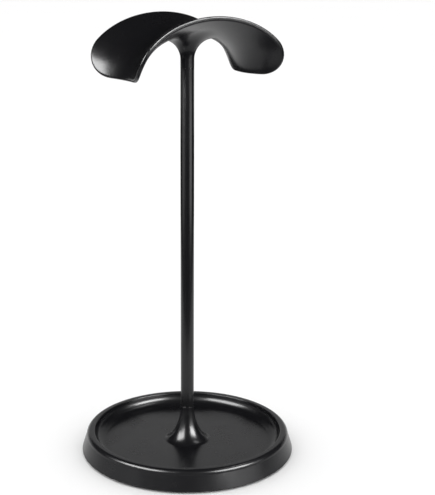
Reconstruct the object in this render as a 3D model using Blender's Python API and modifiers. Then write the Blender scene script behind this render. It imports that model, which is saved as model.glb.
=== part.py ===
"""Headphone stand: a ballasted dish base, a slim tube post and an arched headrest.

Units are metres and +Z is up.  The origin is the centre of the base, on the plane that
the feet stand on.  X runs along the headrest's arch, as a headband lies over it, and Y
runs across the headband's channel.
"""

from math import asin, atan2, cos, hypot, pi, radians, sin, sqrt

import bmesh
import bpy

MM = 0.001
GAP = 0.3 * MM                      # clearance between faces that meet in use
THREAD_GAP = 0.25 * MM              # clearance round a plain cylinder that stands for a thread
EDGE_CHAMFER = 0.3 * MM             # on the ends of the boss, the tube and the neck
FASTENER_CHAMFER = 0.4 * MM
CUT_MARGIN = 1 * MM                 # cutters reach this far past the face that they cut
SHARP_ANGLE = radians(35)
ROUND_STEPS = 64                    # facets round the base
SMALL_STEPS = 24                    # facets round the post and the larger fasteners
HOLE_STEPS = 12                     # facets round the plate screws and their holes
MERGE_DISTANCE = 0.00001

# Base
BASE_RADIUS = 64 * MM               # lower outer edge
BASE_EDGE_Z = 1 * MM                # the outer edge floats this far over the table
RIM_TOP_Z = 12.8 * MM
WALL_TOP_RADIUS = 61.3 * MM         # the cone under the rounded rim
WALL_TOP_Z = 9.9 * MM
RIM_FLAT_OUTER_RADIUS = 58.9 * MM
RIM_FLAT_INNER_RADIUS = 57 * MM
DISH_RADIUS = 56.4 * MM
COVE_RADIUS = 6.2 * MM
COVE_STEPS = 5
RIM_INNER_STEPS = 2
RIM_OUTER_STEPS = 4
DISH_FLOOR_Z = 5.7 * MM
FLOOR_THICKNESS = 1.8 * MM
WALL_THICKNESS = 2 * MM
CAVITY_TOP_Z = 10.6 * MM
CAVITY_COVE_END = 1.94 * pi         # the cove's underside stops here, short of the wall

# Boss that rises from the dish to the post
BOSS_TOP_Z = 27.2 * MM
BOSS_FOOT_RADIUS = 14 * MM
BOSS_FLARE_Z = 26 * MM              # the flare turns into a straight stalk here
BOSS_FLARE_POWER = 1.7              # 2 would be an ellipse, 1 a cone
BOSS_FLARE_STEPS = 8
BOSS_BORE_RADIUS = 2.3 * MM
SPIGOT_RADIUS = 2.7 * MM
SPIGOT_HEIGHT = 2 * MM
BOLT_RECESS_RADIUS = 6.5 * MM
BOLT_SEAT_Z = 7.2 * MM

# Ballast plate under the base, with its screws and feet
PLATE_RADIUS = 60.9 * MM
PLATE_Z = 1.3 * MM
PLATE_THICKNESS = 2 * MM
PLATE_HOLE_RADIUS = 7.5 * MM
CORNER_COUNT = 4                    # screws, screw blocks and feet round the plate
SCREW_CIRCLE_RADIUS = 57.6 * MM
SCREW_RADIUS = 1.2 * MM
SCREW_TIP_RADIUS = 0.7 * MM
SCREW_TIP_LENGTH = 1 * MM
SCREW_HEAD_RADIUS = 2.3 * MM
SCREW_HEAD_HEIGHT = 1.2 * MM
SCREW_HEAD_RIM = 0.2 * MM
SCREW_HEAD_SINK = 0.1 * MM          # the heads sit this far inside the plate
SCREW_DRIVE_DEPTH = 0.6 * MM
SCREW_LENGTH = 6.4 * MM
SCREW_HOLE_RADIUS = 1.45 * MM
SCREW_HOLE_TOP_Z = 8.2 * MM         # just through the screw blocks
SCREW_BLOCK_INNER_RADIUS = 55.5 * MM
SCREW_BLOCK_OUTER_RADIUS = 60.8 * MM
SCREW_BLOCK_WIDTH = 7 * MM
SCREW_BLOCK_TOP_Z = 8 * MM
FOOT_CIRCLE_RADIUS = 46 * MM
FOOT_RADIUS = 6.7 * MM
FOOT_CHAMFER = 0.4 * MM
FOOT_POCKET_DEPTH = 0.6 * MM

# Post
TUBE_RADIUS = 3.95 * MM
TUBE_WALL = 0.9 * MM
NECK_SEAM_Z = 231 * MM
PLUG_LENGTH = 12 * MM
STUD_RADIUS = 1.85 * MM
STUD_LOW_Z = 221 * MM
STUD_TOP_Z = 240 * MM
INSERT_RADIUS = 2.75 * MM
INSERT_LENGTH = 9.2 * MM
INSERT_RECESS = 0.5 * MM

# Centre bolt
BOLT_HEAD_RADIUS = 3.8 * MM
BOLT_HEAD_HEIGHT = 2.4 * MM
BOLT_TIP_Z = 37 * MM
HEX_RADIUS = 1.5 * MM
HEX_DEPTH = 1.4 * MM
HEX_SIDES = 6
WASHER_THICKNESS = 0.8 * MM
FLAT_WASHER_RADIUS = 4.6 * MM
LOCK_WASHER_RADIUS = 3.7 * MM

# Headrest: an elliptical arch in X and Z that carries a channel with raised lips
ARCH_HALF_SPAN = 41.2 * MM
ARCH_RISE = 26.8 * MM
ARCH_CENTRE_Z = 223.9 * MM
ARCH_END = 1.49                     # radians from the crown to each end
CHANNEL_WIDTH = 61.4 * MM
CHANNEL_SPREAD = 0.05               # the channel is this much wider at its ends
LIP_LIFT = 10.7 * MM                 # height of the lips over the channel
CHANNEL_SOFTNESS = 1.75             # 0 is a V-shaped channel, large is a parabola
CORNER_ANGLE = 0.54                 # radians of arch that each rounded corner takes
CORNER_INSET = 18.8 * MM
CROWN_THICKNESS = 1.8 * MM
LIP_THICKNESS = 2.9 * MM
FLARE_RADIUS = 19 * MM              # the neck's flare meets the underside here
FLARE_DEPTH = 13.2 * MM
NECK_BORE_DEPTH = 10.2 * MM
STRAIGHT_CELLS = 24                 # mesh cells along the arch between the corners
CORNER_CELLS = 4
ACROSS_CELLS = 12
NECK_HALF_CELLS = (4, 2)            # half of the patch of cells that the neck replaces
FLARE_RINGS = 6
FLARE_START = 0.8                   # angle on the flare's curve of its first full ring
SOLVER_ROUNDS = 6                   # for the arch angle that lies over a given x


def clear_scene():
    for item in list(bpy.data.objects):
        bpy.data.objects.remove(item, do_unlink=True)


def new_collection(name):
    collection = bpy.data.collections.new(name)
    bpy.context.scene.collection.children.link(collection)
    return collection


def finish_material(name, colour, roughness, metallic=0.0):
    material = bpy.data.materials.new(name)
    material.use_nodes = True
    shader = material.node_tree.nodes["Principled BSDF"]
    shader.inputs["Base Color"].default_value = (*colour, 1.0)
    shader.inputs["Roughness"].default_value = roughness
    shader.inputs["Metallic"].default_value = metallic
    return material


def add_object(name, mesh, collection, material=None):
    item = bpy.data.objects.new(name, mesh)
    collection.objects.link(item)
    if material:
        mesh.materials.append(material)
    return item


def cylinder(name, radius, low, high, collection, material=None, steps=SMALL_STEPS, top_radius=None):
    """Closed cylinder or cone on the Z axis, between the heights low and high."""
    mesh = bpy.data.meshes.new(name)
    shape = bmesh.new()
    bmesh.ops.create_cone(shape, cap_ends=True, segments=steps, radius1=radius,
                          radius2=radius if top_radius is None else top_radius, depth=high - low)
    bmesh.ops.translate(shape, verts=shape.verts, vec=(0, 0, (low + high) / 2))
    shape.to_mesh(mesh)
    shape.free()
    return add_object(name, mesh, collection, material)


def box(name, size, centre, collection):
    mesh = bpy.data.meshes.new(name)
    shape = bmesh.new()
    bmesh.ops.create_cube(shape, size=1)
    bmesh.ops.scale(shape, verts=shape.verts, vec=size)
    bmesh.ops.translate(shape, verts=shape.verts, vec=centre)
    shape.to_mesh(mesh)
    shape.free()
    return add_object(name, mesh, collection)


def turned(name, profile, collection, material, steps=SMALL_STEPS, ring=False):
    """Solid of revolution about Z.  The profile's radius and height pairs run down the outside.

    A ring's profile closes on itself; any other starts and ends on the axis.
    """
    count = len(profile)
    edges = [(i, i + 1) for i in range(count - 1)]
    if ring:
        edges.append((count - 1, 0))
    mesh = bpy.data.meshes.new(name)
    mesh.from_pydata([(radius, 0, height) for radius, height in profile], edges, [])
    item = add_object(name, mesh, collection, material)
    screw = item.modifiers.new("Turn", "SCREW")
    screw.axis = "Z"
    screw.steps = steps
    screw.render_steps = steps
    screw.use_merge_vertices = True
    screw.merge_threshold = MERGE_DISTANCE
    return item


def tube_profile(inner, outer, low, high):
    return [(inner, high), (outer, high), (outer, low), (inner, low)]


def cut_with(item, cutter, operation="DIFFERENCE"):
    """Add a Boolean modifier, and hide its cutter from the finished object."""
    cutter.hide_render = True
    cutter.display_type = "WIRE"
    boolean = item.modifiers.new(cutter.name, "BOOLEAN")
    boolean.operation = operation
    boolean.object = cutter


def finish_shading(parts):
    """Give each part its finished mesh, shaded smooth except across its sharp edges."""
    depsgraph = bpy.context.evaluated_depsgraph_get()
    finished = [item.evaluated_get(depsgraph) for item in parts.objects]
    meshes = [bpy.data.meshes.new_from_object(item) for item in finished]
    for item, mesh in zip(parts.objects, meshes):
        mesh.shade_smooth()
        mesh.set_sharp_from_angle(angle=SHARP_ANGLE)
        item.modifiers.clear()
        item.data = mesh


def arc(centre, radii, start, end, steps):
    """Points of an elliptical arc, with its angles in radians from the outward direction."""
    points = []
    for i in range(steps + 1):
        angle = start + (end - start) * i / steps
        points.append((centre[0] + radii[0] * cos(angle), centre[1] + radii[1] * sin(angle)))
    return points


def corner_angles(offset=0.0):
    return [offset + 2 * pi * i / CORNER_COUNT for i in range(CORNER_COUNT)]


def place_on_circle(item, radius, angle):
    item.location = (radius * cos(angle), radius * sin(angle), item.location.z)
    item.rotation_euler.z = angle


# Base ----------------------------------------------------------------------------------

def wall_radius(height):
    """Radius of the base's conical outer wall at a height."""
    slope = (WALL_TOP_RADIUS - BASE_RADIUS) / (WALL_TOP_Z - BASE_EDGE_Z)
    return BASE_RADIUS + slope * (height - BASE_EDGE_Z)


def boss_flare():
    """Superellipse that sweeps from the boss's stalk down into the dish's floor."""
    height = BOSS_FLARE_Z - DISH_FLOOR_Z
    width = BOSS_FOOT_RADIUS - TUBE_RADIUS
    points = []
    for i in range(BOSS_FLARE_STEPS + 1):
        turn = pi / 2 * i / BOSS_FLARE_STEPS
        radius = BOSS_FOOT_RADIUS - width * abs(cos(turn)) ** (2 / BOSS_FLARE_POWER)
        points.append((radius, BOSS_FLARE_Z - height * sin(turn) ** (2 / BOSS_FLARE_POWER)))
    return points


def tray_profile():
    spigot_top = BOSS_TOP_Z + SPIGOT_HEIGHT
    cove_centre = (DISH_RADIUS - COVE_RADIUS, DISH_FLOOR_Z + COVE_RADIUS)
    inner_edge = RIM_FLAT_INNER_RADIUS - DISH_RADIUS
    outer_edge = WALL_TOP_RADIUS - RIM_FLAT_OUTER_RADIUS
    underside = DISH_FLOOR_Z - FLOOR_THICKNESS
    cavity_radius = COVE_RADIUS + FLOOR_THICKNESS
    profile = [(BOSS_BORE_RADIUS, spigot_top), (SPIGOT_RADIUS, spigot_top)]
    profile += [(SPIGOT_RADIUS, BOSS_TOP_Z), (TUBE_RADIUS - EDGE_CHAMFER, BOSS_TOP_Z)]
    profile += [(TUBE_RADIUS, BOSS_TOP_Z - EDGE_CHAMFER)]
    profile += boss_flare()
    profile += arc(cove_centre, (COVE_RADIUS, COVE_RADIUS), 1.5 * pi, 2 * pi, COVE_STEPS)
    profile += arc((RIM_FLAT_INNER_RADIUS, RIM_TOP_Z - inner_edge), (inner_edge, inner_edge),
                   pi, pi / 2, RIM_INNER_STEPS)
    profile += arc((RIM_FLAT_OUTER_RADIUS, WALL_TOP_Z), (outer_edge, RIM_TOP_Z - WALL_TOP_Z),
                   pi / 2, 0, RIM_OUTER_STEPS)
    profile += [(BASE_RADIUS, BASE_EDGE_Z), (BASE_RADIUS - WALL_THICKNESS, BASE_EDGE_Z)]
    profile += [(wall_radius(CAVITY_TOP_Z) - WALL_THICKNESS, CAVITY_TOP_Z)]
    profile += arc(cove_centre, (cavity_radius, cavity_radius), CAVITY_COVE_END, 1.5 * pi, COVE_STEPS - 1)
    profile += [(BOLT_RECESS_RADIUS, underside), (BOLT_RECESS_RADIUS, BOLT_SEAT_Z)]
    profile += [(BOSS_BORE_RADIUS, BOLT_SEAT_Z)]
    return profile


def make_tray(parts, cutters, material):
    """Moulded dish, rim and boss in one piece, with a block for each ballast screw."""
    tray = turned("base_tray", tray_profile(), parts, material, ROUND_STEPS, ring=True)
    block_low = PLATE_Z + PLATE_THICKNESS + GAP
    depth = SCREW_BLOCK_OUTER_RADIUS - SCREW_BLOCK_INNER_RADIUS
    middle = (SCREW_BLOCK_OUTER_RADIUS + SCREW_BLOCK_INNER_RADIUS) / 2
    for number, angle in enumerate(corner_angles(), 1):
        block = box(f"screw_block_{number}", (depth, SCREW_BLOCK_WIDTH, SCREW_BLOCK_TOP_Z - block_low),
                    (0, 0, (SCREW_BLOCK_TOP_Z + block_low) / 2), cutters)
        place_on_circle(block, middle, angle)
        cut_with(tray, block, "UNION")
    for number, angle in enumerate(corner_angles(), 1):
        hole = cylinder(f"pilot_hole_{number}", SCREW_HOLE_RADIUS, block_low - CUT_MARGIN,
                        SCREW_HOLE_TOP_Z, cutters, steps=HOLE_STEPS)
        place_on_circle(hole, SCREW_CIRCLE_RADIUS, angle)
        cut_with(tray, hole)


def make_ballast_plate(parts, cutters, material):
    """Steel disc with a hole for the bolt, countersunk screw holes and pockets for the feet."""
    top = PLATE_Z + PLATE_THICKNESS
    plate = turned("ballast_plate", tube_profile(PLATE_HOLE_RADIUS, PLATE_RADIUS, PLATE_Z, top),
                   parts, material, ROUND_STEPS, ring=True)
    head_radius = SCREW_HEAD_RADIUS + GAP
    for number, angle in enumerate(corner_angles(), 1):
        hole = cylinder(f"plate_hole_{number}", SCREW_HOLE_RADIUS, PLATE_Z, top + CUT_MARGIN,
                        cutters, steps=HOLE_STEPS)
        sink = cylinder(f"countersink_{number}", head_radius + CUT_MARGIN, PLATE_Z - CUT_MARGIN,
                        PLATE_Z + head_radius - SCREW_HOLE_RADIUS, cutters, steps=HOLE_STEPS,
                        top_radius=SCREW_HOLE_RADIUS)
        for cutter in (hole, sink):
            place_on_circle(cutter, SCREW_CIRCLE_RADIUS, angle)
            cut_with(plate, cutter)
    for number, angle in enumerate(corner_angles(pi / CORNER_COUNT), 1):
        pocket = cylinder(f"foot_pocket_{number}", FOOT_RADIUS + GAP, PLATE_Z - CUT_MARGIN,
                          PLATE_Z + FOOT_POCKET_DEPTH, cutters)
        place_on_circle(pocket, FOOT_CIRCLE_RADIUS, angle)
        cut_with(plate, pocket)


def make_plate_screws(parts, material):
    """Countersunk self-tapping screws that hold the ballast plate up against the tray."""
    low = PLATE_Z + SCREW_HEAD_SINK
    tip = low + SCREW_LENGTH
    drive = low + SCREW_DRIVE_DEPTH
    profile = [(0, tip), (SCREW_TIP_RADIUS, tip), (SCREW_RADIUS, tip - SCREW_TIP_LENGTH)]
    profile += [(SCREW_RADIUS, low + SCREW_HEAD_HEIGHT), (SCREW_HEAD_RADIUS, low + SCREW_HEAD_RIM)]
    profile += [(SCREW_HEAD_RADIUS, low), (SCREW_RADIUS, low), (SCREW_TIP_RADIUS, drive), (0, drive)]
    for number, angle in enumerate(corner_angles(), 1):
        screw = turned(f"plate_screw_{number}", profile, parts, material, HOLE_STEPS)
        place_on_circle(screw, SCREW_CIRCLE_RADIUS, angle)


def make_feet(parts, material):
    top = PLATE_Z + FOOT_POCKET_DEPTH - GAP
    profile = [(0, top), (FOOT_RADIUS, top), (FOOT_RADIUS, FOOT_CHAMFER)]
    profile += [(FOOT_RADIUS - FOOT_CHAMFER, 0), (0, 0)]
    for number, angle in enumerate(corner_angles(pi / CORNER_COUNT), 1):
        foot = turned(f"foot_{number}", profile, parts, material)
        place_on_circle(foot, FOOT_CIRCLE_RADIUS, angle)


def make_centre_bolt(parts, cutters, material):
    """Bolt that clamps tray and post, with a flat and a lock washer under its head."""
    flat_top = BOLT_SEAT_Z - GAP
    lock_top = flat_top - WASHER_THICKNESS - GAP
    head_top = lock_top - WASHER_THICKNESS - GAP
    head_low = head_top - BOLT_HEAD_HEIGHT
    profile = [(0, BOLT_TIP_Z), (STUD_RADIUS - FASTENER_CHAMFER, BOLT_TIP_Z)]
    profile += [(STUD_RADIUS, BOLT_TIP_Z - FASTENER_CHAMFER), (STUD_RADIUS, head_top)]
    profile += [(BOLT_HEAD_RADIUS, head_top), (BOLT_HEAD_RADIUS, head_low + FASTENER_CHAMFER)]
    profile += [(BOLT_HEAD_RADIUS - FASTENER_CHAMFER, head_low), (0, head_low)]
    bolt = turned("centre_bolt", profile, parts, material)
    socket = cylinder("hex_socket", HEX_RADIUS, head_low - CUT_MARGIN, head_low + HEX_DEPTH,
                      cutters, steps=HEX_SIDES)
    cut_with(bolt, socket)
    washers = (("flat_washer", FLAT_WASHER_RADIUS, flat_top), ("lock_washer", LOCK_WASHER_RADIUS, lock_top))
    for name, radius, top in washers:
        profile = tube_profile(BOSS_BORE_RADIUS, radius, top - WASHER_THICKNESS, top)
        turned(name, profile, parts, material, ring=True)


# Post ----------------------------------------------------------------------------------

def make_post(parts, tube_material, fastener_material):
    """Tube with a threaded plug in each end, and the stud that the headrest screws on to."""
    low = BOSS_TOP_Z + GAP
    high = NECK_SEAM_Z - GAP
    bore = TUBE_RADIUS - TUBE_WALL
    profile = [(bore, high), (TUBE_RADIUS - EDGE_CHAMFER, high), (TUBE_RADIUS, high - EDGE_CHAMFER)]
    profile += [(TUBE_RADIUS, low + EDGE_CHAMFER), (TUBE_RADIUS - EDGE_CHAMFER, low), (bore, low)]
    turned("post_tube", profile, parts, tube_material, ring=True)
    plug_radius = bore - THREAD_GAP
    thread_radius = STUD_RADIUS + THREAD_GAP
    bottom_plug_low = BOSS_TOP_Z + SPIGOT_HEIGHT + GAP
    top_plug_low = high - GAP - PLUG_LENGTH
    for name, plug_low in (("post_bottom_plug", bottom_plug_low), ("post_top_plug", top_plug_low)):
        profile = tube_profile(thread_radius, plug_radius, plug_low, plug_low + PLUG_LENGTH)
        turned(name, profile, parts, fastener_material, ring=True)
    cylinder("top_stud", STUD_RADIUS, STUD_LOW_Z, STUD_TOP_Z, parts, fastener_material)


def make_neck_insert(parts, material):
    low = NECK_SEAM_Z + INSERT_RECESS
    profile = tube_profile(STUD_RADIUS + THREAD_GAP, INSERT_RADIUS, low, low + INSERT_LENGTH)
    turned("neck_insert", profile, parts, material, ring=True)


# Headrest ------------------------------------------------------------------------------

def channel_lift(across):
    """Height of the channel's surface over its middle line; across runs from -1 to 1."""
    bowl = sqrt(CHANNEL_SOFTNESS ** 2 + across ** 2) - CHANNEL_SOFTNESS
    return LIP_LIFT * bowl / (sqrt(CHANNEL_SOFTNESS ** 2 + 1) - CHANNEL_SOFTNESS)


def channel_half_width(angle):
    return CHANNEL_WIDTH / 2 * (1 + CHANNEL_SPREAD * (angle / ARCH_END) ** 2)


def arch_point(angle, y, depth):
    """Point of the headrest at an arch angle and a y, a fraction depth through its thickness."""
    across = y / channel_half_width(angle)
    thickness = CROWN_THICKNESS + (LIP_THICKNESS - CROWN_THICKNESS) * across ** 2
    offset = channel_lift(across) - depth * thickness
    normal = (ARCH_RISE * sin(angle), ARCH_HALF_SPAN * cos(angle))
    scale = offset / hypot(*normal)
    x = ARCH_HALF_SPAN * sin(angle) + scale * normal[0]
    z = ARCH_CENTRE_Z + ARCH_RISE * cos(angle) + scale * normal[1]
    return x, y, z


def underside_height(x, y):
    """Height of the headrest's underside over a point of the plan, without the neck's flare."""
    angle = asin(x / ARCH_HALF_SPAN)
    for _ in range(SOLVER_ROUNDS):
        found = arch_point(angle, y, 1)[0]
        angle += (x - found) / ARCH_HALF_SPAN
    return arch_point(angle, y, 1)[2]


def flare_drop(radius):
    """How far the neck's flare hangs below the underside, at a distance from the post's axis."""
    if radius >= FLARE_RADIUS:
        return 0
    inward = min((FLARE_RADIUS - radius) / (FLARE_RADIUS - TUBE_RADIUS), 1)
    return FLARE_DEPTH * (1 - sqrt(1 - inward ** 2))


def stations():
    """Arch angle and half width of each mesh row, closer together round the plan's corners."""
    straight_end = ARCH_END - CORNER_ANGLE
    rows = []
    for i in range(STRAIGHT_CELLS + 1):
        angle = straight_end * (2 * i / STRAIGHT_CELLS - 1)
        rows.append((angle, channel_half_width(angle)))
    for i in range(1, CORNER_CELLS + 1):
        turn = pi / 2 * i / CORNER_CELLS
        angle = straight_end + CORNER_ANGLE * sin(turn)
        half_width = channel_half_width(angle) - CORNER_INSET * (1 - cos(turn))
        rows.append((angle, half_width))
        rows.insert(0, (-angle, half_width))
    return rows


def surface_grid(shape, rows, depth):
    """Vertices of the headrest's top (depth 0) or underside (depth 1), row by row."""
    grid = []
    for angle, half_width in rows:
        line = []
        for j in range(ACROSS_CELLS + 1):
            x, y, z = arch_point(angle, half_width * (2 * j / ACROSS_CELLS - 1), depth)
            line.append(shape.verts.new((x, y, z - depth * flare_drop(hypot(x, y)))))
        grid.append(line)
    return grid


def loop_of(grid, i_range, j_range):
    """Vertices round a rectangle of the grid, in order."""
    i0, i1 = i_range
    j0, j1 = j_range
    loop = [grid[i][j0] for i in range(i0, i1)]
    loop += [grid[i1][j] for j in range(j0, j1)]
    loop += [grid[i][j1] for i in range(i1, i0, -1)]
    loop += [grid[i0][j] for j in range(j1, j0, -1)]
    return loop


def bridge(shape, first, second):
    """Quads between two closed loops of the same length."""
    for i in range(len(first)):
        k = (i + 1) % len(first)
        shape.faces.new((first[i], first[k], second[k], second[i]))


def ring_of(shape, angles, radius, height):
    return [shape.verts.new((radius * cos(a), radius * sin(a), height)) for a in angles]


def add_neck(shape, edge):
    """Flare, stalk and blind bore of the neck, from the edge of its patch in the underside."""
    angles = [atan2(vert.co.y, vert.co.x) for vert in edge]
    reach = FLARE_RADIUS - TUBE_RADIUS
    loop = edge
    for i in range(FLARE_RINGS + 1):
        turn = FLARE_START * (1 - max(i - 1, 0) / (FLARE_RINGS - 1))
        radius = FLARE_RADIUS - reach * cos(turn)
        ring = []
        for vert, angle in zip(edge, angles):
            x, y = radius * cos(angle), radius * sin(angle)
            if i == 0:
                x, y = (x + vert.co.x) / 2, (y + vert.co.y) / 2
            ring.append(shape.verts.new((x, y, underside_height(x, y) - flare_drop(hypot(x, y)))))
        bridge(shape, loop, ring)
        loop = ring
    bore_radius = INSERT_RADIUS + THREAD_GAP
    profile = [(TUBE_RADIUS, NECK_SEAM_Z + EDGE_CHAMFER), (TUBE_RADIUS - EDGE_CHAMFER, NECK_SEAM_Z)]
    profile += [(bore_radius, NECK_SEAM_Z), (bore_radius, NECK_SEAM_Z + NECK_BORE_DEPTH)]
    for radius, height in profile:
        ring = ring_of(shape, angles, radius, height)
        bridge(shape, loop, ring)
        loop = ring
    shape.faces.new(loop)


def make_headrest(parts, material):
    """Arched shell with a channel, thick at the crown and thin at its lips, on a flared neck."""
    shape = bmesh.new()
    rows = stations()
    top = surface_grid(shape, rows, 0)
    under = surface_grid(shape, rows, 1)
    row_cells = len(rows) - 1
    middle = (row_cells // 2, ACROSS_CELLS // 2)
    patch = [(c - half, c + half) for c, half in zip(middle, NECK_HALF_CELLS)]
    for i in range(row_cells):
        for j in range(ACROSS_CELLS):
            shape.faces.new((top[i][j], top[i + 1][j], top[i + 1][j + 1], top[i][j + 1]))
            if not (patch[0][0] <= i < patch[0][1] and patch[1][0] <= j < patch[1][1]):
                shape.faces.new((under[i][j], under[i][j + 1], under[i + 1][j + 1], under[i + 1][j]))
    whole = ((0, row_cells), (0, ACROSS_CELLS))
    bridge(shape, loop_of(top, *whole), loop_of(under, *whole))
    unused = [v for i in range(patch[0][0] + 1, patch[0][1]) for v in under[i][patch[1][0] + 1:patch[1][1]]]
    add_neck(shape, loop_of(under, *patch))
    bmesh.ops.delete(shape, geom=unused, context="VERTS")
    bmesh.ops.recalc_face_normals(shape, faces=shape.faces)
    mesh = bpy.data.meshes.new("headrest")
    shape.to_mesh(mesh)
    shape.free()
    add_object("headrest", mesh, parts, material)


def main():
    clear_scene()
    parts = new_collection("headphone_stand")
    cutters = new_collection("cutters")
    satin_black = finish_material("satin_black_plastic", (0.020, 0.020, 0.023), 0.42)
    coated_black = finish_material("black_coated_tube", (0.018, 0.018, 0.020), 0.36)
    steel = finish_material("zinc_plated_steel", (0.55, 0.56, 0.58), 0.35, 1.0)
    ballast = finish_material("blackened_steel", (0.10, 0.10, 0.11), 0.5, 1.0)
    brass = finish_material("brass", (0.78, 0.60, 0.30), 0.35, 1.0)
    rubber = finish_material("black_rubber", (0.03, 0.03, 0.03), 0.8)
    make_tray(parts, cutters, satin_black)
    make_ballast_plate(parts, cutters, ballast)
    make_plate_screws(parts, steel)
    make_feet(parts, rubber)
    make_centre_bolt(parts, cutters, steel)
    make_post(parts, coated_black, steel)
    make_neck_insert(parts, brass)
    make_headrest(parts, satin_black)
    finish_shading(parts)


main()
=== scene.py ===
"""Looks of the headphone stand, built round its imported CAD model.

Units are metres and +Z is up.  X runs along the headrest's arch and Y across its channel.
"""

from math import asin, atan2, cos, hypot, pi, radians, sin, sqrt

import bmesh
import bpy
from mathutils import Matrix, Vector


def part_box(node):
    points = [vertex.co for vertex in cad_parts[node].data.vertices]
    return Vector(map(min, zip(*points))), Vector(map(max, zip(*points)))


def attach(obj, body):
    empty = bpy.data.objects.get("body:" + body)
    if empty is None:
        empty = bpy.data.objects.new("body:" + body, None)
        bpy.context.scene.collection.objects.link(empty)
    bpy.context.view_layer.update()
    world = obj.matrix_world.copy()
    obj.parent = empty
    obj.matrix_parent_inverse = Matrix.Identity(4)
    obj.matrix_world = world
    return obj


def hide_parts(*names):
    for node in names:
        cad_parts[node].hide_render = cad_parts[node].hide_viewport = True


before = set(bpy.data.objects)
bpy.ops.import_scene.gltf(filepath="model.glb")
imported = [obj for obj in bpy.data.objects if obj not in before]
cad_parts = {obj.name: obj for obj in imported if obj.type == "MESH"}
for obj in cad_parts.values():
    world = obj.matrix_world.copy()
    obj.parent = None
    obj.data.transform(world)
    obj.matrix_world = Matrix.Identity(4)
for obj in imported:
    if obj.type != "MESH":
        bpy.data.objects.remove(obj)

MM = 0.001
BODY = "root"
TURNS = 256                         # facets round the base
SMALL_TURNS = 96                    # facets round the post, feet and fasteners
SHARP_ANGLE = radians(35)
SEAM = 0.05 * MM                    # hairline left where two pieces touch
CAD_GAP = 0.3 * MM                  # what the CAD model leaves there
CUT_MARGIN = MM                     # how far a cutter runs past the face that it cuts
WELD_DISTANCE = 0.001 * MM
EDGE_STEPS = 4                      # facets round a fine edge
HEAD_STEPS = 6                      # facets round the edge of a screw's or bolt's head

# Sizes read from the CAD model
TRAY_LOW, TRAY_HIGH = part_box("base_tray")
TUBE_LOW, TUBE_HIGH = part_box("post_tube")
PLATE_LOW, PLATE_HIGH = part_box("ballast_plate")
BOLT_LOW, BOLT_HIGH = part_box("centre_bolt")
BASE_RADIUS = TRAY_HIGH.x
BASE_EDGE_Z = TRAY_LOW.z
TUBE_RADIUS = TUBE_HIGH.x
PLATE_RADIUS = PLATE_HIGH.x

# Base
RIM_TOP_Z = 12.8 * MM
WALL_TOP_RADIUS = 61.3 * MM
WALL_TOP_Z = 9.9 * MM
RIM_FLAT_OUTER_RADIUS = 58.9 * MM
RIM_FLAT_INNER_RADIUS = 57 * MM
DISH_RADIUS = 56.4 * MM
COVE_RADIUS = 6.2 * MM
COVE_STEPS = 16
RIM_OUTER_STEPS = 16
RIM_INNER_STEPS = 8
DISH_FLOOR_Z = 5.7 * MM
FLOOR_THICKNESS = 1.8 * MM
WALL_THICKNESS = 2 * MM
CAVITY_TOP_Z = 10.6 * MM
CAVITY_COVE_START = 1.94 * pi       # angle at which the cavity's cove leaves its top
CAVITY_STEPS = 12
LOWER_EDGE_ROUNDING = 0.4 * MM
LOWER_EDGE_STEPS = 6
BOSS_TOP_Z = TUBE_LOW.z - CAD_GAP
BOSS_FOOT_RADIUS = 14 * MM
BOSS_FLARE_Z = 26 * MM
BOSS_FLARE_POWER = 1.7              # 2 would be an ellipse, 1 a cone
BOSS_FLARE_STEPS = 40
BOSS_BORE_RADIUS = 2.3 * MM
SPIGOT_RADIUS = 2.7 * MM
BOLT_RECESS_RADIUS = 6.5 * MM
BOLT_SEAT_Z = 7.2 * MM

# Ballast plate, feet and fasteners
PLATE_HOLE_RADIUS = 7.5 * MM
PLATE_ROUNDING = 0.25 * MM
CORNER_COUNT = 4
FOOT_TURN = pi / CORNER_COUNT       # from each screw to the next foot
SCREW_CIRCLE_RADIUS = 57.6 * MM
SCREW_HOLE_RADIUS = 1.45 * MM
SINK_RADIUS = 2.6 * MM
FOOT_CIRCLE_RADIUS = 46 * MM
FOOT_POCKET_RADIUS = 7 * MM
FOOT_POCKET_DEPTH = 0.6 * MM
FOOT_RADIUS = 6.7 * MM
FOOT_ROUNDING = 0.35 * MM
FOOT_GROOVE_RADII = (2 * MM, 3.4 * MM, 4.8 * MM)
GROOVE_HALF_WIDTH = 0.25 * MM
GROOVE_DEPTH = 0.2 * MM
GROOVE_STEPS = 6
SCREW_RADIUS = 1.2 * MM
SCREW_LENGTH = 6.4 * MM
SCREW_HEAD_RADIUS = 2.3 * MM
SCREW_HEAD_HEIGHT = 1.2 * MM
SCREW_HEAD_ROUNDING = 0.15 * MM
CROSS_WIDTH = 0.62 * MM
CROSS_LENGTH = 2.5 * MM
CROSS_DEPTH = 0.8 * MM
STUD_RADIUS = 1.85 * MM
BOLT_HEAD_RADIUS = 3.8 * MM
BOLT_HEAD_HEIGHT = 2.4 * MM
BOLT_ROUNDING = 0.35 * MM
HEX_RADIUS = 1.5 * MM
HEX_DEPTH = 1.4 * MM
HEX_SIDES = 6
WASHER_ROUNDING = 0.12 * MM
LOCK_WASHER_SPLIT = radians(14)

# Post
TUBE_WALL = 0.9 * MM
NECK_SEAM_Z = 231 * MM
SEAM_ROUNDING = 0.12 * MM

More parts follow.
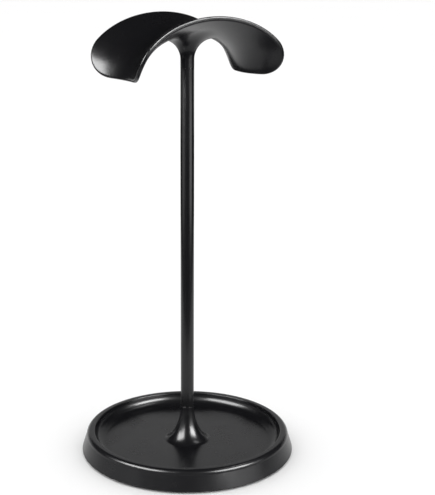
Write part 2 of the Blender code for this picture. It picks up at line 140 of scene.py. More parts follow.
# Headrest
ARCH_HALF_SPAN = 41.2 * MM
ARCH_RISE = 26.8 * MM
ARCH_CENTRE_Z = 223.9 * MM
ARCH_END = 1.49                     # radians from the crown to either end
CHANNEL_WIDTH = 61.4 * MM
CHANNEL_SPREAD = 0.05               # how much wider the channel is at the ends, as a share
LIP_LIFT = 10.7 * MM                # height of the lips over the channel's middle
CHANNEL_SOFTNESS = 1.75             # larger is nearer to a parabola, smaller to a V
CORNER_ANGLE = 0.54                 # radians of the arch that a rounded corner takes up
CORNER_INSET = 18.8 * MM            # how far the corner has drawn in at the end
CROWN_THICKNESS = 1.8 * MM
LIP_THICKNESS = 2.9 * MM
UPPER_LIP_ROUNDING = 1.4 * MM
LOWER_LIP_ROUNDING = 0.6 * MM
LIP_STEPS = 6
FLARE_RADIUS = 19 * MM
FLARE_DEPTH = 13.2 * MM
FLARE_START = 0.8                   # radians of the flare's curve that are meshed as rings
INSERT_HOLE_RADIUS = 3 * MM
NECK_BORE_DEPTH = 10.2 * MM
STRAIGHT_CELLS = 120
CORNER_CELLS = 16
ACROSS_CELLS = 48
NECK_HALF_CELLS = (20, 8)           # half of the neck's patch in the underside's grid
BLEND_RINGS = 6
FLARE_RINGS = 16
SOLVER_ROUNDS = 8

# Colours at the two ends of each finish's cloudiness, and where it is rubbed or dusty
PLASTIC_TONES = ((0.0060, 0.0060, 0.0072), (0.0085, 0.0085, 0.0098))
PLASTIC_RUBBED = (0.030, 0.030, 0.032)
TUBE_TONES = ((0.0060, 0.0060, 0.0070), (0.0085, 0.0085, 0.0095))
TUBE_RUBBED = (0.05, 0.05, 0.05)
PLATE_TONES = ((0.016, 0.016, 0.018), (0.026, 0.026, 0.028))
PLATE_DUST = (0.075, 0.073, 0.070)
RUBBER_TONES = ((0.016, 0.016, 0.016), (0.034, 0.033, 0.032))
ZINC_TONES = ((0.50, 0.52, 0.56), (0.62, 0.60, 0.55))
BRASS_TONES = ((0.70, 0.50, 0.22), (0.82, 0.63, 0.31))
FLOOR_TONES = ((0.90, 0.90, 0.90), (0.92, 0.92, 0.92))

# Colour sockets of the Mix node
MIX_FIRST, MIX_SECOND = 6, 7
MIX_RESULT = 2

# Room
CAMERA_DISTANCE = 0.650
CAMERA_HEIGHT = 0.2946
CAMERA_AZIMUTH = radians(-31.5)
CAMERA_PITCH = radians(14.55)
LENS = 83.24
FRAME_SHIFT = (0.061, 0.001)
DAYLIGHT = 1.15
TABLE_RADIUS = 0.42
TABLE_SETBACK = 0.22                # how far the table's middle lies behind the post
FLOOR_RADIUS = 12

# Each panel's turn from the camera's side to its right in degrees, then its distance,
# lower edge, upper edge and width, and its radiance
SOFTBOXES = {
    "right_softbox": (52, 1.2, 0.35, 0.82, 0.90, 58),
    "right_strip": (60, 0.55, 0.01, 0.16, 0.40, 2.8),
    "right_high_softbox": (82, 0.35, 0.45, 0.62, 0.25, 12),
    "left_softbox": (-55, 0.55, 0.24, 0.60, 0.54, 40),
    "left_strip": (-70, 0.55, 0.01, 0.20, 0.45, 1.2),
    "front_room": (0, 1.5, 0.00, 1.20, 3.00, 0.35),
    "backdrop": (180, 1.2, 0.25, 0.75, 1.60, 0.7),
    "horizon": (180, 1.2, 0.00, 0.25, 3.00, 1.2),
}


# Mesh helpers --------------------------------------------------------------------------

def arc(centre, radii, start, end, steps):
    """Points of an elliptical arc, with its angles in radians from the outward direction."""
    points = []
    for i in range(steps + 1):
        angle = start + (end - start) * i / steps
        points.append((centre[0] + radii[0] * cos(angle), centre[1] + radii[1] * sin(angle)))
    return points


def mesh_object(name, mesh, material):
    """Object with smooth faces, and sharp edges where they meet at more than the sharp angle."""
    mesh.materials.append(material)
    mesh.shade_smooth()
    mesh.set_sharp_from_angle(angle=SHARP_ANGLE)
    item = bpy.data.objects.new(name, mesh)
    bpy.context.scene.collection.objects.link(item)
    return item


def weigh_normals(item):
    """Keep flat faces looking flat next to their rounded edges."""
    normals = item.modifiers.new("Flats", "WEIGHTED_NORMAL")
    normals.keep_sharp = True


def mesh_of(shape, name):
    """Mesh of a finished bmesh, which is then freed."""
    mesh = bpy.data.meshes.new(name)
    shape.to_mesh(mesh)
    shape.free()
    return mesh


def turned_mesh(name, profile, turns, ring=False, sweep=2 * pi):
    """Mesh turned about Z from radius and height pairs that run down the outside.

    A ring's profile closes on itself; any other starts and ends on the axis.
    """
    shape = bmesh.new()
    closed = sweep == 2 * pi
    columns = []
    for k in range(turns if closed else turns + 1):
        angle = sweep * k / turns
        columns.append([shape.verts.new((r * cos(angle), r * sin(angle), z)) for r, z in profile])
    count = len(profile)
    for k in range(turns):
        first, second = columns[k], columns[(k + 1) % len(columns)]
        for i in range(count if ring else count - 1):
            j = (i + 1) % count
            shape.faces.new((first[i], first[j], second[j], second[i]))
    if not closed:
        shape.faces.new(columns[0])
        shape.faces.new(columns[-1][::-1])
    bmesh.ops.remove_doubles(shape, verts=shape.verts, dist=WELD_DISTANCE)
    bmesh.ops.dissolve_degenerate(shape, edges=shape.edges, dist=WELD_DISTANCE)
    bmesh.ops.recalc_face_normals(shape, faces=shape.faces)
    return mesh_of(shape, name)


def turned_object(name, profile, turns, material, **settings):
    return mesh_object(name, turned_mesh(name, profile, turns, **settings), material)


def rounded_side(radius, low, high, rounding, steps=EDGE_STEPS):
    """Outer side of a disc or ring, rounded at its top and bottom edges."""
    radii = (rounding, rounding)
    points = arc((radius - rounding, high - rounding), radii, pi / 2, 0, steps)
    return points + arc((radius - rounding, low + rounding), radii, 0, -pi / 2, steps)


def rounded_ring(inner, outer, low, high, rounding):
    """Section of a ring whose two outer edges are rounded."""
    return [(inner, high)] + rounded_side(outer, low, high, rounding) + [(inner, low)]


def cut_with(item, cutter):
    """Boolean difference; the cutter stays in the scene until apply_modifiers removes it."""
    boolean = item.modifiers.new(cutter.name, "BOOLEAN")
    boolean.operation = "DIFFERENCE"
    boolean.object = cutter


def apply_modifiers(item, *cutters):
    """Bake the modifiers into the mesh, and remove the cutters that they used."""
    bpy.context.view_layer.update()
    finished = item.evaluated_get(bpy.context.evaluated_depsgraph_get())
    mesh = bpy.data.meshes.new_from_object(finished)
    mesh.shade_smooth()
    mesh.set_sharp_from_angle(angle=SHARP_ANGLE)
    item.modifiers.clear()
    item.data = mesh
    for cutter in cutters:
        bpy.data.objects.remove(cutter, do_unlink=True)


def corner_angles(offset=0.0):
    """Evenly spaced angles, one for each screw or foot."""
    return [offset + 2 * pi * i / CORNER_COUNT for i in range(CORNER_COUNT)]


def place_on_circle(item, radius, angle):
    item.location = (radius * cos(angle), radius * sin(angle), item.location.z)
    item.rotation_euler.z = angle


def finish_piece(item, node):
    """Tie a piece to the body, and hide the CAD node that it stands for."""
    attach(item, BODY)
    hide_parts(node)


def finish_ring(first, name, radius, angles, node):
    """Place the first of some numbered pieces on a circle, and copies that share its mesh."""
    for number, angle in enumerate(angles, 1):
        piece = first
        if number > 1:
            piece = bpy.data.objects.new(f"{name}_{number}", first.data)
            bpy.context.scene.collection.objects.link(piece)
        place_on_circle(piece, radius, angle)
        finish_piece(piece, f"{node}_{number}")


# Base ----------------------------------------------------------------------------------

def wall_radius(height):
    slope = (WALL_TOP_RADIUS - BASE_RADIUS) / (WALL_TOP_Z - BASE_EDGE_Z)
    return BASE_RADIUS + slope * (height - BASE_EDGE_Z)


def boss_flare():
    """Superellipse that sweeps from the boss's stalk down into the dish's floor."""
    height = BOSS_FLARE_Z - DISH_FLOOR_Z
    width = BOSS_FOOT_RADIUS - TUBE_RADIUS
    points = []
    for i in range(BOSS_FLARE_STEPS + 1):
        turn = pi / 2 * i / BOSS_FLARE_STEPS
        radius = BOSS_FOOT_RADIUS - width * abs(cos(turn)) ** (2 / BOSS_FLARE_POWER)
        points.append((radius, BOSS_FLARE_Z - height * sin(turn) ** (2 / BOSS_FLARE_POWER)))
    return points


def tray_profile():
    spigot_top = TRAY_HIGH.z
    cove_centre = (DISH_RADIUS - COVE_RADIUS, DISH_FLOOR_Z + COVE_RADIUS)
    inner_edge = RIM_FLAT_INNER_RADIUS - DISH_RADIUS
    outer_edge = WALL_TOP_RADIUS - RIM_FLAT_OUTER_RADIUS
    underside = DISH_FLOOR_Z - FLOOR_THICKNESS
    cavity_radius = COVE_RADIUS + FLOOR_THICKNESS
    lower = LOWER_EDGE_ROUNDING
    profile = [(BOSS_BORE_RADIUS, spigot_top), (SPIGOT_RADIUS, spigot_top)]
    profile += [(SPIGOT_RADIUS, BOSS_TOP_Z)]
    profile += arc((TUBE_RADIUS - SEAM_ROUNDING, BOSS_TOP_Z - SEAM_ROUNDING),
                   (SEAM_ROUNDING, SEAM_ROUNDING), pi / 2, 0, EDGE_STEPS)
    profile += boss_flare()
    profile += arc(cove_centre, (COVE_RADIUS, COVE_RADIUS), 1.5 * pi, 2 * pi, COVE_STEPS)
    profile += arc((RIM_FLAT_INNER_RADIUS, RIM_TOP_Z - inner_edge), (inner_edge, inner_edge),
                   pi, pi / 2, RIM_INNER_STEPS)
    profile += arc((RIM_FLAT_OUTER_RADIUS, WALL_TOP_Z), (outer_edge, RIM_TOP_Z - WALL_TOP_Z),
                   pi / 2, 0, RIM_OUTER_STEPS)
    profile += arc((BASE_RADIUS - lower, BASE_EDGE_Z + lower), (lower, lower),
                   0, -pi / 2, LOWER_EDGE_STEPS)
    profile += [(BASE_RADIUS - WALL_THICKNESS, BASE_EDGE_Z)]
    profile += [(wall_radius(CAVITY_TOP_Z) - WALL_THICKNESS, CAVITY_TOP_Z)]
    profile += arc(cove_centre, (cavity_radius, cavity_radius),
                   CAVITY_COVE_START, 1.5 * pi, CAVITY_STEPS)
    profile += [(BOLT_RECESS_RADIUS, underside), (BOLT_RECESS_RADIUS, BOLT_SEAT_Z)]
    profile += [(BOSS_BORE_RADIUS, BOLT_SEAT_Z)]
    return profile


def make_tray(material):
    """Moulded dish, rim and boss, without the screw blocks that the ballast plate hides."""
    tray = turned_object("tray_moulding", tray_profile(), TURNS, material, ring=True)
    weigh_normals(tray)
    finish_piece(tray, "base_tray")


def sink_profile():
    """Cutter for a countersunk hole, with a 45-degree cone."""
    above, below = PLATE_HIGH.z + CUT_MARGIN, PLATE_LOW.z - CUT_MARGIN
    cone_top = PLATE_LOW.z + SINK_RADIUS - SCREW_HOLE_RADIUS
    profile = [(0, above), (SCREW_HOLE_RADIUS, above), (SCREW_HOLE_RADIUS, cone_top)]
    return profile + [(SINK_RADIUS + CUT_MARGIN, below), (0, below)]


def pocket_profile():
    """Cutter for a foot's pocket."""
    top, below = PLATE_LOW.z + FOOT_POCKET_DEPTH, PLATE_LOW.z - CUT_MARGIN
    return [(0, top), (FOOT_POCKET_RADIUS, top), (FOOT_POCKET_RADIUS, below), (0, below)]


def make_ballast_plate(material):
    """Steel disc with countersunk screw holes, foot pockets and a hole for the bolt."""
    profile = rounded_ring(PLATE_HOLE_RADIUS, PLATE_RADIUS, PLATE_LOW.z, PLATE_HIGH.z,
                           PLATE_ROUNDING)
    plate = turned_object("plate_pressing", profile, TURNS, material, ring=True)
    holes = [("sink", sink_profile(), SCREW_CIRCLE_RADIUS, a) for a in corner_angles()]
    holes += [("pocket", pocket_profile(), FOOT_CIRCLE_RADIUS, a)
              for a in corner_angles(FOOT_TURN)]
    cutters = []
    for name, profile, radius, angle in holes:
        cutter = turned_object(name, profile, SMALL_TURNS, material)
        place_on_circle(cutter, radius, angle)
        cut_with(plate, cutter)
        cutters.append(cutter)
    apply_modifiers(plate, *cutters)
    weigh_normals(plate)
    finish_piece(plate, "ballast_plate")


def make_feet(material):
    """Moulded discs with shallow ring grooves in the face that grips the table."""
    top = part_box("foot_1")[1].z
    profile = [(0, top)] + rounded_side(FOOT_RADIUS, 0, top, FOOT_ROUNDING)
    for radius in reversed(FOOT_GROOVE_RADII):
        profile += arc((radius, 0), (GROOVE_HALF_WIDTH, GROOVE_DEPTH), 0, pi, GROOVE_STEPS)
    profile.append((0, 0))
    first = turned_object("moulded_foot_1", profile, SMALL_TURNS, material)
    finish_ring(first, "moulded_foot", FOOT_CIRCLE_RADIUS, corner_angles(FOOT_TURN),
                "foot")


def box_cutter(name, size, centre, material):
    shape = bmesh.new()
    bmesh.ops.create_cube(shape, size=1)
    bmesh.ops.scale(shape, vec=size, verts=shape.verts)
    bmesh.ops.translate(shape, vec=centre, verts=shape.verts)
    return mesh_object(name, mesh_of(shape, name), material)


def make_plate_screws(material):
    """Countersunk screws with a rounded head edge and a cross recess."""
    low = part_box("plate_screw_1")[0].z
    rounding = SCREW_HEAD_ROUNDING
    profile = [(0, low + SCREW_LENGTH), (SCREW_RADIUS, low + SCREW_LENGTH - SCREW_RADIUS)]
    profile += [(SCREW_RADIUS, low + SCREW_HEAD_HEIGHT)]
    profile += arc((SCREW_HEAD_RADIUS - rounding, low + rounding), (rounding, rounding),
                   pi / 4, -pi / 2, HEAD_STEPS)
    profile.append((0, low))
    first = turned_object("cross_screw_1", profile, SMALL_TURNS, material)
    centre = (0, 0, low)
    across = box_cutter("across", (CROSS_LENGTH, CROSS_WIDTH, 2 * CROSS_DEPTH), centre, material)
    along = box_cutter("along", (CROSS_WIDTH, CROSS_LENGTH, 2 * CROSS_DEPTH), centre, material)
    cut_with(first, across)
    cut_with(first, along)
    apply_modifiers(first, across, along)
    finish_ring(first, "cross_screw", SCREW_CIRCLE_RADIUS, corner_angles(),
                "plate_screw")


def make_centre_bolt(material):
    """Socket-head bolt that clamps the tray to the tube."""
    low, high = BOLT_LOW.z, BOLT_HIGH.z
    rounding = BOLT_ROUNDING
    head_top = low + BOLT_HEAD_HEIGHT
    profile = [(0, high), (STUD_RADIUS - rounding, high), (STUD_RADIUS, high - rounding)]
    profile += [(STUD_RADIUS, head_top)]
    profile += rounded_side(BOLT_HEAD_RADIUS, low, head_top, rounding, HEAD_STEPS)
    profile.append((0, low))
    bolt = turned_object("socket_bolt", profile, SMALL_TURNS, material)
    top, below = low + HEX_DEPTH, low - CUT_MARGIN
    hexagon = [(0, top), (HEX_RADIUS, top), (HEX_RADIUS, below), (0, below)]
    socket = turned_object("socket", hexagon, HEX_SIDES, material)
    cut_with(bolt, socket)
    apply_modifiers(bolt, socket)
    weigh_normals(bolt)
    finish_piece(bolt, "centre_bolt")


def make_washers(material):
    """Flat washer, and a lock washer with a split in it."""
    for node, sweep in (("flat_washer", 2 * pi), ("lock_washer", 2 * pi - LOCK_WASHER_SPLIT)):
        low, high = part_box(node)
        profile = rounded_ring(BOSS_BORE_RADIUS, high.x, low.z, high.z, WASHER_ROUNDING)
        washer = turned_object("turned_" + node, profile, SMALL_TURNS, material,
                               ring=True, sweep=sweep)
        weigh_normals(washer)
        finish_piece(washer, node)


# Post ----------------------------------------------------------------------------------

def make_post(material):
    """Tube that meets the boss and the neck with a hairline seam."""
    low = BOSS_TOP_Z + SEAM
    high = NECK_SEAM_Z - SEAM
    profile = rounded_ring(TUBE_RADIUS - TUBE_WALL, TUBE_RADIUS, low, high, SEAM_ROUNDING)
    tube = turned_object("coated_tube", profile, SMALL_TURNS, material, ring=True)
    weigh_normals(tube)
    finish_piece(tube, "post_tube")


# Headrest ------------------------------------------------------------------------------

def channel_lift(across):
    """Height of the channel's surface over its middle line; across runs from -1 to 1."""
    bowl = sqrt(CHANNEL_SOFTNESS ** 2 + across ** 2) - CHANNEL_SOFTNESS
    return LIP_LIFT * bowl / (sqrt(CHANNEL_SOFTNESS ** 2 + 1) - CHANNEL_SOFTNESS)


def channel_half_width(angle):
    return CHANNEL_WIDTH / 2 * (1 + CHANNEL_SPREAD * (angle / ARCH_END) ** 2)


def arch_point(angle, y, depth):
    """Point of the headrest at an arch angle and a y, a fraction depth through its thickness."""
    across = y / channel_half_width(angle)
    thickness = CROWN_THICKNESS + (LIP_THICKNESS - CROWN_THICKNESS) * across ** 2
    offset = channel_lift(across) - depth * thickness
    normal = (ARCH_RISE * sin(angle), ARCH_HALF_SPAN * cos(angle))
    scale = offset / hypot(*normal)
    x = ARCH_HALF_SPAN * sin(angle) + scale * normal[0]
    z = ARCH_CENTRE_Z + ARCH_RISE * cos(angle) + scale * normal[1]
    return x, y, z


def underside_height(x, y):
    """Height of the headrest's underside over a point of the plan, without the neck's flare."""
    angle = asin(x / ARCH_HALF_SPAN)
    for _ in range(SOLVER_ROUNDS):
        found = arch_point(angle, y, 1)[0]
        angle += (x - found) / ARCH_HALF_SPAN
    return arch_point(angle, y, 1)[2]


def flare_drop(radius):
    """How far the neck's flare hangs below the underside, at a distance from the post's axis."""
    if radius >= FLARE_RADIUS:
        return 0
    inward = min((FLARE_RADIUS - radius) / (FLARE_RADIUS - TUBE_RADIUS), 1)
    return FLARE_DEPTH * (1 - sqrt(1 - inward ** 2))


def stations(inset):
    """Arch angle and half width of each mesh row, for a plan smaller by an inset all round.

    The rows are closer together round the plan's corners.
    """
    straight_end = ARCH_END - CORNER_ANGLE
    rows = []
    for i in range(STRAIGHT_CELLS + 1):
        angle = straight_end * (2 * i / STRAIGHT_CELLS - 1)
        rows.append((angle, channel_half_width(angle) - inset))
    for i in range(1, CORNER_CELLS + 1):
        turn = pi / 2 * i / CORNER_CELLS
        angle = straight_end + (CORNER_ANGLE - inset / ARCH_RISE) * sin(turn)
        half_width = channel_half_width(angle) - inset - (CORNER_INSET - inset) * (1 - cos(turn))
        rows.append((angle, half_width))
        rows.insert(0, (-angle, half_width))
    return rows


def grid_point(row, j, depth):
    angle, half_width = row
    return arch_point(angle, half_width * (2 * j / ACROSS_CELLS - 1), depth)


def surface_grid(shape, rows, depth):
    """Vertices of the headrest's top (depth 0) or underside (depth 1), row by row."""
    grid = []
    for row in rows:
        line = []
        for j in range(ACROSS_CELLS + 1):
            x, y, z = grid_point(row, j, depth)
            line.append(shape.verts.new((x, y, z - depth * flare_drop(hypot(x, y)))))
        grid.append(line)
    return grid


def border(i_range, j_range):
    """Row and column numbers round a rectangle of the grid, in order."""
    i0, i1 = i_range
    j0, j1 = j_range
    cells = [(i, j0) for i in range(i0, i1)]
    cells += [(i1, j) for j in range(j0, j1)]
    cells += [(i, j1) for i in range(i1, i0, -1)]
    cells += [(i0, j) for j in range(j1, j0, -1)]
    return cells


def bridge(shape, first, second):
    """Quads between two closed loops of the same length."""
    for i in range(len(first)):
        k = (i + 1) % len(first)
        shape.faces.new((first[i], first[k], second[k], second[i]))


def flare_ring(shape, edge, angles, radius, share):
    """Ring of the flare's surface, a share of the way from the patch's edge to a circle."""
    ring = []
    for vert, angle in zip(edge, angles):
        x = vert.co.x + (radius * cos(angle) - vert.co.x) * share
        y = vert.co.y + (radius * sin(angle) - vert.co.y) * share
        ring.append(shape.verts.new((x, y, underside_height(x, y) - flare_drop(hypot(x, y)))))
    return ring


def add_neck(shape, edge):
    """Flare, stalk and blind bore of the neck, from the edge of its patch in the underside."""
    angles = [atan2(vert.co.y, vert.co.x) for vert in edge]
    reach = FLARE_RADIUS - TUBE_RADIUS
    start_radius = FLARE_RADIUS - reach * cos(FLARE_START)
    loop = edge
    for i in range(1, BLEND_RINGS + 1):
        ring = flare_ring(shape, edge, angles, start_radius, i / BLEND_RINGS)
        bridge(shape, loop, ring)
        loop = ring
    for i in range(1, FLARE_RINGS + 1):
        turn = FLARE_START * (1 - i / FLARE_RINGS)
        ring = flare_ring(shape, edge, angles, FLARE_RADIUS - reach * cos(turn), 1)
        bridge(shape, loop, ring)
        loop = ring
    profile = arc((TUBE_RADIUS - SEAM_ROUNDING, NECK_SEAM_Z + SEAM_ROUNDING),
                  (SEAM_ROUNDING, SEAM_ROUNDING), 0, -pi / 2, EDGE_STEPS)
    profile += [(INSERT_HOLE_RADIUS, NECK_SEAM_Z)]
    profile += [(INSERT_HOLE_RADIUS, NECK_SEAM_Z + NECK_BORE_DEPTH)]
    for radius, height in profile:
        ring = [shape.verts.new((radius * cos(a), radius * sin(a), height)) for a in angles]
        bridge(shape, loop, ring)
        loop = ring
    shape.faces.new(loop)


def lip_sections():
    """Inset and depth of each ring round the shell's edge, from its top to its underside."""
    upper, lower = UPPER_LIP_ROUNDING, LOWER_LIP_ROUNDING
    upper_rings = arc((upper, upper), (-upper, -upper), pi / 2, 0, LIP_STEPS)
    lower_rings = arc((lower, LIP_THICKNESS - lower), (-lower, lower), 0, pi / 2, LIP_STEPS)
    return upper_rings[1:] + lower_rings[:-1]


def add_lip(shape, cells, top_rim, under_rim):
    """Rounded edge between the rims of the top and the underside."""
    loop = top_rim
    for inset, depth in lip_sections():
        rows = stations(inset)
        ring = [shape.verts.new(grid_point(rows[i], j, depth / LIP_THICKNESS)) for i, j in cells]
        bridge(shape, loop, ring)
        loop = ring
    bridge(shape, loop, under_rim)


def make_headrest(material):
    """Arched shell with a channel and rounded lips, on a flared neck."""
    shape = bmesh.new()
    top = surface_grid(shape, stations(UPPER_LIP_ROUNDING), 0)
    under = surface_grid(shape, stations(LOWER_LIP_ROUNDING), 1)
    row_cells = len(top) - 1
    middle = (row_cells // 2, ACROSS_CELLS // 2)
    patch = [(c - half, c + half) for c, half in zip(middle, NECK_HALF_CELLS)]
    (i0, i1), (j0, j1) = patch
    for i in range(row_cells):
        for j in range(ACROSS_CELLS):
            shape.faces.new((top[i][j], top[i + 1][j], top[i + 1][j + 1], top[i][j + 1]))
            if not (i0 <= i < i1 and j0 <= j < j1):
                shape.faces.new((under[i][j], under[i][j + 1],
                                 under[i + 1][j + 1], under[i + 1][j]))
    rim = border((0, row_cells), (0, ACROSS_CELLS))
    add_lip(shape, rim, [top[i][j] for i, j in rim], [under[i][j] for i, j in rim])
    add_neck(shape, [under[i][j] for i, j in border(*patch)])
    covered = [vert for row in under[i0 + 1:i1] for vert in row[j0 + 1:j1]]
    bmesh.ops.delete(shape, geom=covered, context="VERTS")
    bmesh.ops.recalc_face_normals(shape, faces=shape.faces)
    shell = mesh_object("headrest_shell", mesh_of(shape, "headrest_shell"), material)
    weigh_normals(shell)
    finish_piece(shell, "headrest")


# Materials -----------------------------------------------------------------------------

def add_node(material, kind, inputs, **settings):
    """Node with its settings made and each input set to a value or linked to a socket."""
    node = material.node_tree.nodes.new(kind)
    for key, value in settings.items():
        setattr(node, key, value)
    for key, value in inputs.items():
        if isinstance(value, bpy.types.NodeSocket):
            material.node_tree.links.new(value, node.inputs[key])
        else:
            node.inputs[key].default_value = value
    return node


def new_surface(name, values):
    material = bpy.data.materials.new(name)
    material.use_nodes = True
    shader = material.node_tree.nodes["Principled BSDF"]
    for key, value in values.items():
        shader.inputs[key].default_value = value
    return material, shader


def link(material, shader, key, socket):
    material.node_tree.links.new(socket, shader.inputs[key])


def millimetres(material, stretch=(1, 1, 1)):
    """Object coordinates in millimetres, stretched along each axis."""
    place = add_node(material, "ShaderNodeTexCoord", {})
    scale = tuple(1 / (MM * s) for s in stretch)
    return add_node(material, "ShaderNodeMapping",
                    {"Vector": place.outputs["Object"], "Scale": scale}).outputs["Vector"]


def noise(material, place, size, detail=2.0):
    """Noise whose blotches are about a size in millimetres across."""
    return add_node(material, "ShaderNodeTexNoise",
                    {"Vector": place, "Scale": 1 / size, "Detail": detail}).outputs["Fac"]


def spread(material, value, source, target):
    """Map a value from a source range to a target range, clamped at both ends."""
    return add_node(material, "ShaderNodeMapRange",
                    {"Value": value, "From Min": source[0], "From Max": source[1],
                     "To Min": target[0], "To Max": target[1]}).outputs["Result"]


def combine(material, operation, first, second):
    maths = add_node(material, "ShaderNodeMath", {0: first, 1: second}, operation=operation)
    return maths.outputs["Value"]


def clouds(material, place, tones, size, detail):
    """Colour that drifts between two tones, in blotches of a size in millimetres."""
    ramp = add_node(material, "ShaderNodeValToRGB", {"Fac": noise(material, place, size, detail)})
    for element, tone in zip(ramp.color_ramp.elements, tones):
        element.color = (*tone, 1)
    return ramp.outputs["Color"]


def cover_colour(material, mask, body, cover):
    """Body colour with a cover, such as dust or wear, over it where the mask is 1."""
    mix = add_node(material, "ShaderNodeMix", {0: mask, MIX_FIRST: body, MIX_SECOND: (*cover, 1)},
                   data_type="RGBA")
    return mix.outputs[MIX_RESULT]


def edge_wear(material, place, sharpness):
    """Mask of the edges in a range of sharpness, broken up as rubbing leaves them."""
    geometry = add_node(material, "ShaderNodeNewGeometry", {})
    edges = spread(material, geometry.outputs["Pointiness"], sharpness, (0, 1))
    patches = spread(material, noise(material, place, size=3, detail=4), (0.4, 0.65), (0, 1))
    return combine(material, "MULTIPLY", edges, patches)


def add_bump(material, height, depth, strength=1.0, below=None):
    """Bump of a depth in millimetres, over another bump's normal if there is one."""
    inputs = {"Height": height, "Strength": strength, "Distance": depth * MM}
    if below:
        inputs["Normal"] = below
    return add_node(material, "ShaderNodeBump", inputs).outputs["Normal"]


def satin_plastic():
    """Black ABS with a fine spark-eroded grain, soft handling marks and rubbed edges."""
    material, shader = new_surface("satin_black_plastic", {"IOR": 1.5, "Specular IOR Level": 0.2})
    place = millimetres(material)
    tone = clouds(material, place, PLASTIC_TONES, size=22, detail=3)
    wear = edge_wear(material, place, (0.53, 0.60))
    link(material, shader, "Base Color", cover_colour(material, wear, tone, PLASTIC_RUBBED))
    handling = noise(material, place, size=14, detail=5)
    marks = spread(material, handling, (0.35, 0.7), (0.23, 0.28))
    fine = spread(material, noise(material, place, size=0.6), (0, 1), (-0.02, 0.02))
    link(material, shader, "Roughness", combine(material, "ADD", marks, fine))
    sparks = noise(material, place, size=0.22, detail=3)
    grain = add_bump(material, sparks, depth=0.012, strength=0.5)
    waves = noise(material, place, size=18, detail=1)
    link(material, shader, "Normal",
         add_bump(material, waves, depth=0.02, strength=0.4, below=grain))
    return material


def coated_tube():
    """Semi-gloss black coating with a faint orange peel and fine lengthwise rubbing."""
    material, shader = new_surface("black_coated_tube", {"IOR": 1.5, "Specular IOR Level": 0.35})
    place = millimetres(material)
    tone = clouds(material, place, TUBE_TONES, size=16, detail=2)
    wear = edge_wear(material, place, (0.54, 0.62))
    link(material, shader, "Base Color", cover_colour(material, wear, tone, TUBE_RUBBED))
    rubbing = noise(material, millimetres(material, stretch=(0.5, 0.5, 14)), size=1, detail=3)
    link(material, shader, "Roughness", spread(material, rubbing, (0.3, 0.7), (0.17, 0.22)))
    peel = noise(material, place, size=0.9)
    link(material, shader, "Normal", add_bump(material, peel, depth=0.006, strength=0.6))
    return material


def ballast_coating():
    """Black electro-coat on pressed steel, cloudy and a little dusty, with an orange peel."""
    material, shader = new_surface("black_electro_coat", {"Specular IOR Level": 0.5})
    place = millimetres(material)
    tone = clouds(material, place, PLATE_TONES, size=11, detail=4)
    specks = noise(material, place, size=0.7, detail=5)
    dust = spread(material, specks, (0.62, 0.72), (0, 0.5))
    link(material, shader, "Base Color", cover_colour(material, dust, tone, PLATE_DUST))
    sheen = noise(material, place, size=3, detail=4)
    link(material, shader, "Roughness", spread(material, sheen, (0.3, 0.7), (0.40, 0.52)))
    peel = noise(material, place, size=0.6, detail=3)
    link(material, shader, "Normal", add_bump(material, peel, depth=0.02, strength=0.5))
    return material


def foot_rubber():
    """Matte moulded rubber, slightly dusty."""
    material, shader = new_surface("black_rubber", {"Specular IOR Level": 0.3})
    place = millimetres(material)
    tone = clouds(material, place, RUBBER_TONES, size=2.5, detail=5)
    link(material, shader, "Base Color", tone)
    dust = noise(material, place, size=0.8, detail=3)
    link(material, shader, "Roughness", spread(material, dust, (0.3, 0.7), (0.78, 0.92)))
    grain = noise(material, place, size=0.3, detail=3)
    link(material, shader, "Normal", add_bump(material, grain, depth=0.03, strength=0.7))
    return material


def turned_metal(name, tones, cloud_size, line_pitch, roughness, bump_strength):
    """Bare or plated metal, faintly clouded, with turning marks round its axis."""
    material, shader = new_surface(name, {"Metallic": 1.0})
    tone = clouds(material, millimetres(material), tones, size=cloud_size, detail=3)
    link(material, shader, "Base Color", tone)
    turning = noise(material, millimetres(material, stretch=(8, 8, line_pitch)), size=1)
    link(material, shader, "Roughness", spread(material, turning, (0.3, 0.7), roughness))
    link(material, shader, "Normal",
         add_bump(material, turning, depth=0.01, strength=bump_strength))
    return material


def plated_steel():
    """Bright zinc plate with a faint blue and straw passivation."""
    return turned_metal("zinc_plated_steel", ZINC_TONES, cloud_size=3, line_pitch=0.4,
                        roughness=(0.26, 0.40), bump_strength=0.4)


def turned_brass():
    return turned_metal("turned_brass", BRASS_TONES, cloud_size=2, line_pitch=0.3,
                        roughness=(0.24, 0.38), bump_strength=0.5)


def pale_floor():
    """Matte white, a little cloudy."""
    material, shader = new_surface("pale_floor", {"Roughness": 0.9, "Specular IOR Level": 0.1})
    tone = clouds(material, millimetres(material), FLOOR_TONES, size=400, detail=1)
    link(material, shader, "Base Color", tone)
    return material


def dress_cad_nodes(steel, brass):
    """Give the CAD pieces that stay inside the stand their finish."""
    for name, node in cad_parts.items():
        if not node.hide_render:
            node.data.materials.clear()
            node.data.materials.append(brass if name == "neck_insert" else steel)


# Room ----------------------------------------------------------------------------------

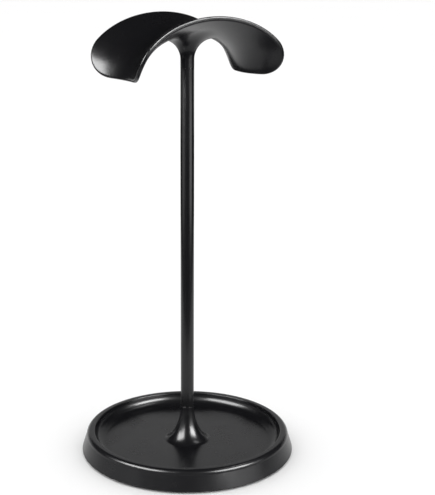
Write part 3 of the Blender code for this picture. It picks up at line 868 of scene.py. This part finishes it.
def make_camera():
    camera = bpy.data.cameras.new("camera")
    camera.lens = LENS
    camera.shift_x, camera.shift_y = FRAME_SHIFT
    item = bpy.data.objects.new("camera", camera)
    item.location = (CAMERA_DISTANCE * sin(CAMERA_AZIMUTH), -CAMERA_DISTANCE * cos(CAMERA_AZIMUTH),
                     CAMERA_HEIGHT)
    item.rotation_euler = (pi / 2 - CAMERA_PITCH, 0, CAMERA_AZIMUTH)
    bpy.context.scene.collection.objects.link(item)
    bpy.context.scene.camera = item


def make_floor():
    """White table top, and the same white further out, which the gloss doesn't show."""
    material = pale_floor()
    x, y = -TABLE_SETBACK * sin(CAMERA_AZIMUTH), TABLE_SETBACK * cos(CAMERA_AZIMUTH)
    for name, inner, outer in (("table", 0, TABLE_RADIUS), ("floor", TABLE_RADIUS, FLOOR_RADIUS)):
        item = turned_object(name, [(inner, 0), (outer, 0)], SMALL_TURNS, material)
        item.location = (x, y, 0)
        item.visible_glossy = name == "table"


def softbox(name, turn, distance, low, high, width, radiance):
    """Upright panel that faces the post, and lights its gloss only."""
    lamp = bpy.data.lights.new(name, "AREA")
    lamp.shape = "RECTANGLE"
    lamp.size, lamp.size_y = width, high - low
    lamp.energy = radiance * pi * width * (high - low)
    item = bpy.data.objects.new(name, lamp)
    azimuth = CAMERA_AZIMUTH + radians(turn)
    item.location = (distance * sin(azimuth), -distance * cos(azimuth), (low + high) / 2)
    item.rotation_euler = (pi / 2, 0, azimuth)
    item.visible_camera = False
    item.visible_diffuse = False
    bpy.context.scene.collection.objects.link(item)


def light_room():
    """Even white daylight that the gloss doesn't show, and softboxes for the highlights."""
    world = bpy.data.worlds.new("room")
    world.use_nodes = True
    background = world.node_tree.nodes["Background"]
    background.inputs["Color"].default_value = (1, 1, 1, 1)
    background.inputs["Strength"].default_value = DAYLIGHT
    world.cycles_visibility.glossy = False
    bpy.context.scene.world = world
    for name, settings in SOFTBOXES.items():
        softbox(name, *settings)


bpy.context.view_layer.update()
bpy.context.scene.view_settings.view_transform = "Standard"
plastic = satin_plastic()
steel = plated_steel()
make_tray(plastic)
make_ballast_plate(ballast_coating())
make_feet(foot_rubber())
make_plate_screws(steel)
make_centre_bolt(steel)
make_washers(steel)
make_post(coated_tube())
make_headrest(plastic)
dress_cad_nodes(steel, turned_brass())
make_camera()
make_floor()
light_room()
